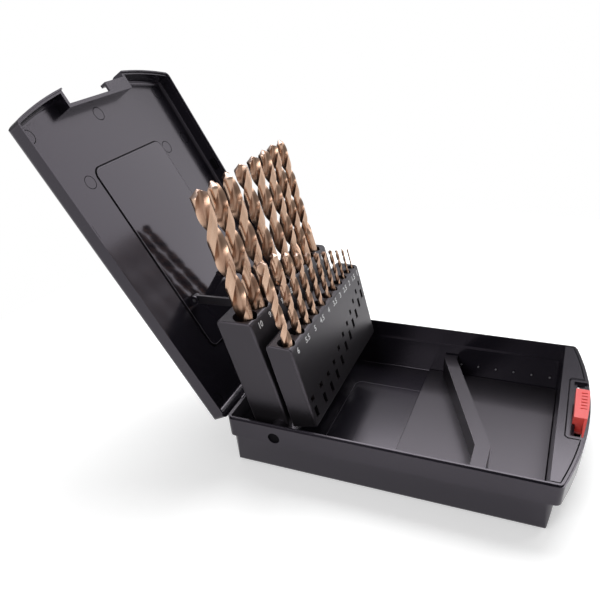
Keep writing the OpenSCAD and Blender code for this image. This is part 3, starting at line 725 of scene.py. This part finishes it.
# The panel in the lid: low corner, high corner, corner radius, and the height of its inner face
PANEL_LOW, PANEL_HIGH, PANEL_ROUND = (34.0, 35.9), (158.8, 102.1), 5.0
PANEL_INNER = 45.1
HIGHLIGHT_INSET, HIGHLIGHT_WIDTH = 0.5, 0.5
SHADOW_EDGE_OFFSET, SHADOW_EDGE_WIDTH = 0.45, 0.85


def panel_outline(by):
    """The outline of the lid's panel, grown by some millimetres."""
    return rounded_box((PANEL_LOW[0] - by, PANEL_LOW[1] - by), (PANEL_HIGH[0] + by, PANEL_HIGH[1] + by),
                       PANEL_ROUND + by)


plate = panel_outline(-HIGHLIGHT_INSET)
surface_piece("lid_panel_face", plate, [list(range(len(plate)))], LID_INSIDE, PANEL_INNER - LIFT, GLOSS)
# A paler strip just inside the panel's edge: a painted highlight where its step catches light.
strip("lid_panel_painted_highlight", plate, HIGHLIGHT_WIDTH, LID_INSIDE, PANEL_INNER - 2 * LIFT, HIGHLIGHT_GREY)
# A near-black strip just outside the panel: a painted shadow along the foot of its step.
strip("lid_panel_painted_shadow", panel_outline(SHADOW_EDGE_OFFSET), SHADOW_EDGE_WIDTH, LID_INSIDE,
      LID_INNER - LIFT, SHADE_AND_SEAM_BLACK)

TRAY_FLOOR = 2.0
TRAY_PANEL = rounded_box((48.0, 20.0), (130.0, 105.4), 5.0)
TRAY_HIGHLIGHT_WIDTH = 0.45
# A paler strip round the tray floor's raised panel: a painted highlight on its edge.
strip("tray_panel_painted_highlight", TRAY_PANEL, TRAY_HIGHLIGHT_WIDTH, TRAY_INSIDE, TRAY_FLOOR + LIFT, HIGHLIGHT_GREY)

# The groove round the shelf and the latch's notch, drawn as a flat strip of painted shade
TRAY_TOP = 37.0
BOW_CENTRE_X, BOW_CENTRE_Y, BOW_REACH = -28.96, 69.0, 229.31
GROOVE_SIDE, GROOVE_NOTCH, GROOVE_CHAMFER, GROOVE_WIDTH = 2.65, 190.35, 1.5, 0.75
NOTCH_SIDE = 39.4
SHELF_START = 185.9
BOW_STEPS = 12


def on_bow(y):
    """The point of the groove's bow at a distance from the near side."""
    return BOW_CENTRE_X + math.sqrt(BOW_REACH**2 - (y - BOW_CENTRE_Y) ** 2), y


bow_step = (NOTCH_SIDE - GROOVE_SIDE) / BOW_STEPS
near_groove = [(SHELF_START, GROOVE_SIDE)]
near_groove += [on_bow(GROOVE_SIDE + bow_step * i) for i in range(BOW_STEPS + 1)]
near_groove += [(GROOVE_NOTCH + GROOVE_CHAMFER, NOTCH_SIDE), (GROOVE_NOTCH, NOTCH_SIDE + GROOVE_CHAMFER)]
far_groove = [(x, 2 * BOW_CENTRE_Y - y) for x, y in reversed(near_groove)]
strip("shelf_groove_painted_shade", near_groove + far_groove, GROOVE_WIDTH, TRAY_INSIDE, TRAY_TOP + LIFT, SHADE_AND_SEAM_BLACK,
      closed=False)

# Black shade under the latch's slot, so that no light shows through it
SHADE_HEIGHT = 23.4
SHADE = [(191.0, 40.5), (200.2, 40.5), (200.2, 97.0), (191.0, 97.0)]
surface_piece("latch_slot_shade", SHADE, [(0, 1, 2, 3)], TRAY_INSIDE, SHADE_HEIGHT, SHADE_AND_SEAM_BLACK)


# ---------------------------------------------------------------- snaps in painted shade, and pips with painted highlights
def lid_block(name, low, high):
    """A small box in the lid, between two corners, painted near-black as shade."""
    work = bmesh.new()
    bmesh.ops.create_cube(work, size=1.0)
    middle = (Vector(low) + Vector(high)) / 2
    span = Vector(high) - Vector(low)
    for vertex in work.verts:
        at = middle + Vector(c * s for c, s in zip(vertex.co, span))
        vertex.co = in_lid(*at)
    bmesh.ops.recalc_face_normals(work, faces=work.faces)
    mesh = bpy.data.meshes.new(name)
    work.to_mesh(mesh)
    work.free()
    add_case_piece(name, mesh, SHADE_AND_SEAM_BLACK, "lid")


# The snaps by the lid's rim, painted near-black as the shade in their slots.
SNAP_WIDTH, SNAP_LOW, SNAP_HIGH, SNAP_OUT, SNAP_SUNK = 7.6, 38.4, 41.6, 1.4, 0.05
SNAP_PLACES = (66.0, 129.0)
CASE_WIDTH, WALL = 138.0, 2.0
for number, x in enumerate(SNAP_PLACES, 1):
    for side, y in (("near", WALL - SNAP_SUNK), ("far", CASE_WIDTH - WALL - SNAP_OUT + SNAP_SUNK)):
        lid_block(f"lid_snap_{side}_{number}", (x - SNAP_WIDTH / 2, y, SNAP_LOW),
                  (x + SNAP_WIDTH / 2, y + SNAP_OUT, SNAP_HIGH))

# Pale grey domes on the far wall's pips: painted highlights on the small bumps.
PIP_FIRST, PIP_PITCH, PIP_COUNT = 107.0, 12.1, 7
PIP_Y, PIP_HEIGHT, PIP_RADIUS = 132.3, 12.3, 0.75
pip_highlights = bmesh.new()
for number in range(PIP_COUNT):
    place = Matrix.Translation(in_case(PIP_FIRST + number * PIP_PITCH, PIP_Y, PIP_HEIGHT))
    bmesh.ops.create_icosphere(pip_highlights, subdivisions=3, radius=PIP_RADIUS * MM, matrix=place)
pip_highlight_mesh = bpy.data.meshes.new("tray_pip_highlights")
pip_highlights.to_mesh(pip_highlight_mesh)
pip_highlights.free()
pip_highlight_mesh.shade_smooth()
add_case_piece("tray_pip_highlights", pip_highlight_mesh, PIP_HIGHLIGHT, "case_base")

# ---------------------------------------------------------------- studio
FLOOR_SIZE = 6.0
FLOOR_DROP = 0.0004
FLOOR_WHITE_FROM, FLOOR_WHITE_TO = 0.22, 0.42
FLOOR_TONE = (0.86, 0.86, 0.86)
FLOOR_GLOW = 0.35
WORLD_FILL = 0.28
WORLD_DIM = 0.30
WORLD_DIM_FROM, WORLD_DIM_TO = 0.02, 0.28


def floor_finish():
    """White floor that keeps the object's shadow and turns into plain white further out."""
    material = bpy.data.materials.new("studio_floor")
    sheet = empty_sheet(material)
    path = sheet.node("ShaderNodeLightPath")
    seen = path.other("Is Camera Ray").most(path.other("Is Glossy Ray"))
    seen = seen.most(path.other("Is Transmission Ray"))
    place = sheet.node("ShaderNodeTexCoord", None, None, out="Object")
    away = sheet.node("ShaderNodeVectorMath", {"operation": "LENGTH"}, {0: place}, out="Value")
    far = away.between(FLOOR_WHITE_FROM, FLOOR_WHITE_TO)
    pale = sheet.node("ShaderNodeBsdfDiffuse", None, {"Color": FLOOR_TONE})
    glow = sheet.node("ShaderNodeEmission", None, {"Color": WHITE, "Strength": seen * FLOOR_GLOW})
    near = sheet.node("ShaderNodeAddShader", None, {0: pale, 1: glow})
    plain = sheet.node("ShaderNodeEmission", None, {"Color": WHITE, "Strength": 1.0})
    whole = sheet.node("ShaderNodeMixShader", None, {0: far, 1: near, 2: plain})
    sheet.node("ShaderNodeOutputMaterial", None, {"Surface": whole})
    return material


floor_mesh = bpy.data.meshes.new("studio_floor")
FLOOR_CORNERS = ((-0.5, -0.5), (0.5, -0.5), (0.5, 0.5), (-0.5, 0.5))
floor_mesh.from_pydata([(x * FLOOR_SIZE, y * FLOOR_SIZE, -FLOOR_DROP) for x, y in FLOOR_CORNERS],
                       [], [(0, 1, 2, 3)])
floor_mesh.materials.append(floor_finish())
floor = linked("studio_floor", floor_mesh)


def softbox(name, place, target, size, power):
    """A rectangular white lamp that faces its target."""
    data = bpy.data.lights.new(name, "AREA")
    data.shape = "RECTANGLE"
    data.size, data.size_y = size
    data.energy = power
    lamp = linked(name, data)
    lamp.location = place
    lamp.rotation_euler = (Vector(target) - Vector(place)).to_track_quat("-Z", "Y").to_euler()


softbox("rear_overhead", (-0.10, 0.62, 1.05), (0, 0, 0.03), (1.0, 0.75), 14)
softbox("rear_right", (0.72, 1.00, 0.66), (-0.1, 0, 0.12), (0.75, 0.80), 4.2)
softbox("key_front", (-0.45, -1.25, 0.85), (0, 0, 0.06), (0.9, 0.7), 9)

# The room is white to the camera. Glossy surfaces see it dim above the horizon, and the rest gets
# a weak fill from it.
world = bpy.data.worlds.new("studio")
bpy.context.scene.world = world
world_sheet = empty_sheet(world)
world_path = world_sheet.node("ShaderNodeLightPath")
towards = world_sheet.node("ShaderNodeTexCoord", None, None, out="Generated")
height = world_sheet.node("ShaderNodeSeparateXYZ", None, {"Vector": towards}, out="Z")
room = height.between(WORLD_DIM_FROM, WORLD_DIM_TO, 1.0, WORLD_DIM)
shown = world_path.other("Is Camera Ray").most(world_path.other("Is Transmission Ray"))
shown = shown.most(world_path.other("Is Glossy Ray") * room)
background = world_sheet.node("ShaderNodeBackground", None,
                              {"Color": WHITE, "Strength": shown.most(WORLD_FILL)})
world_sheet.node("ShaderNodeOutputWorld", None, {"Surface": background})
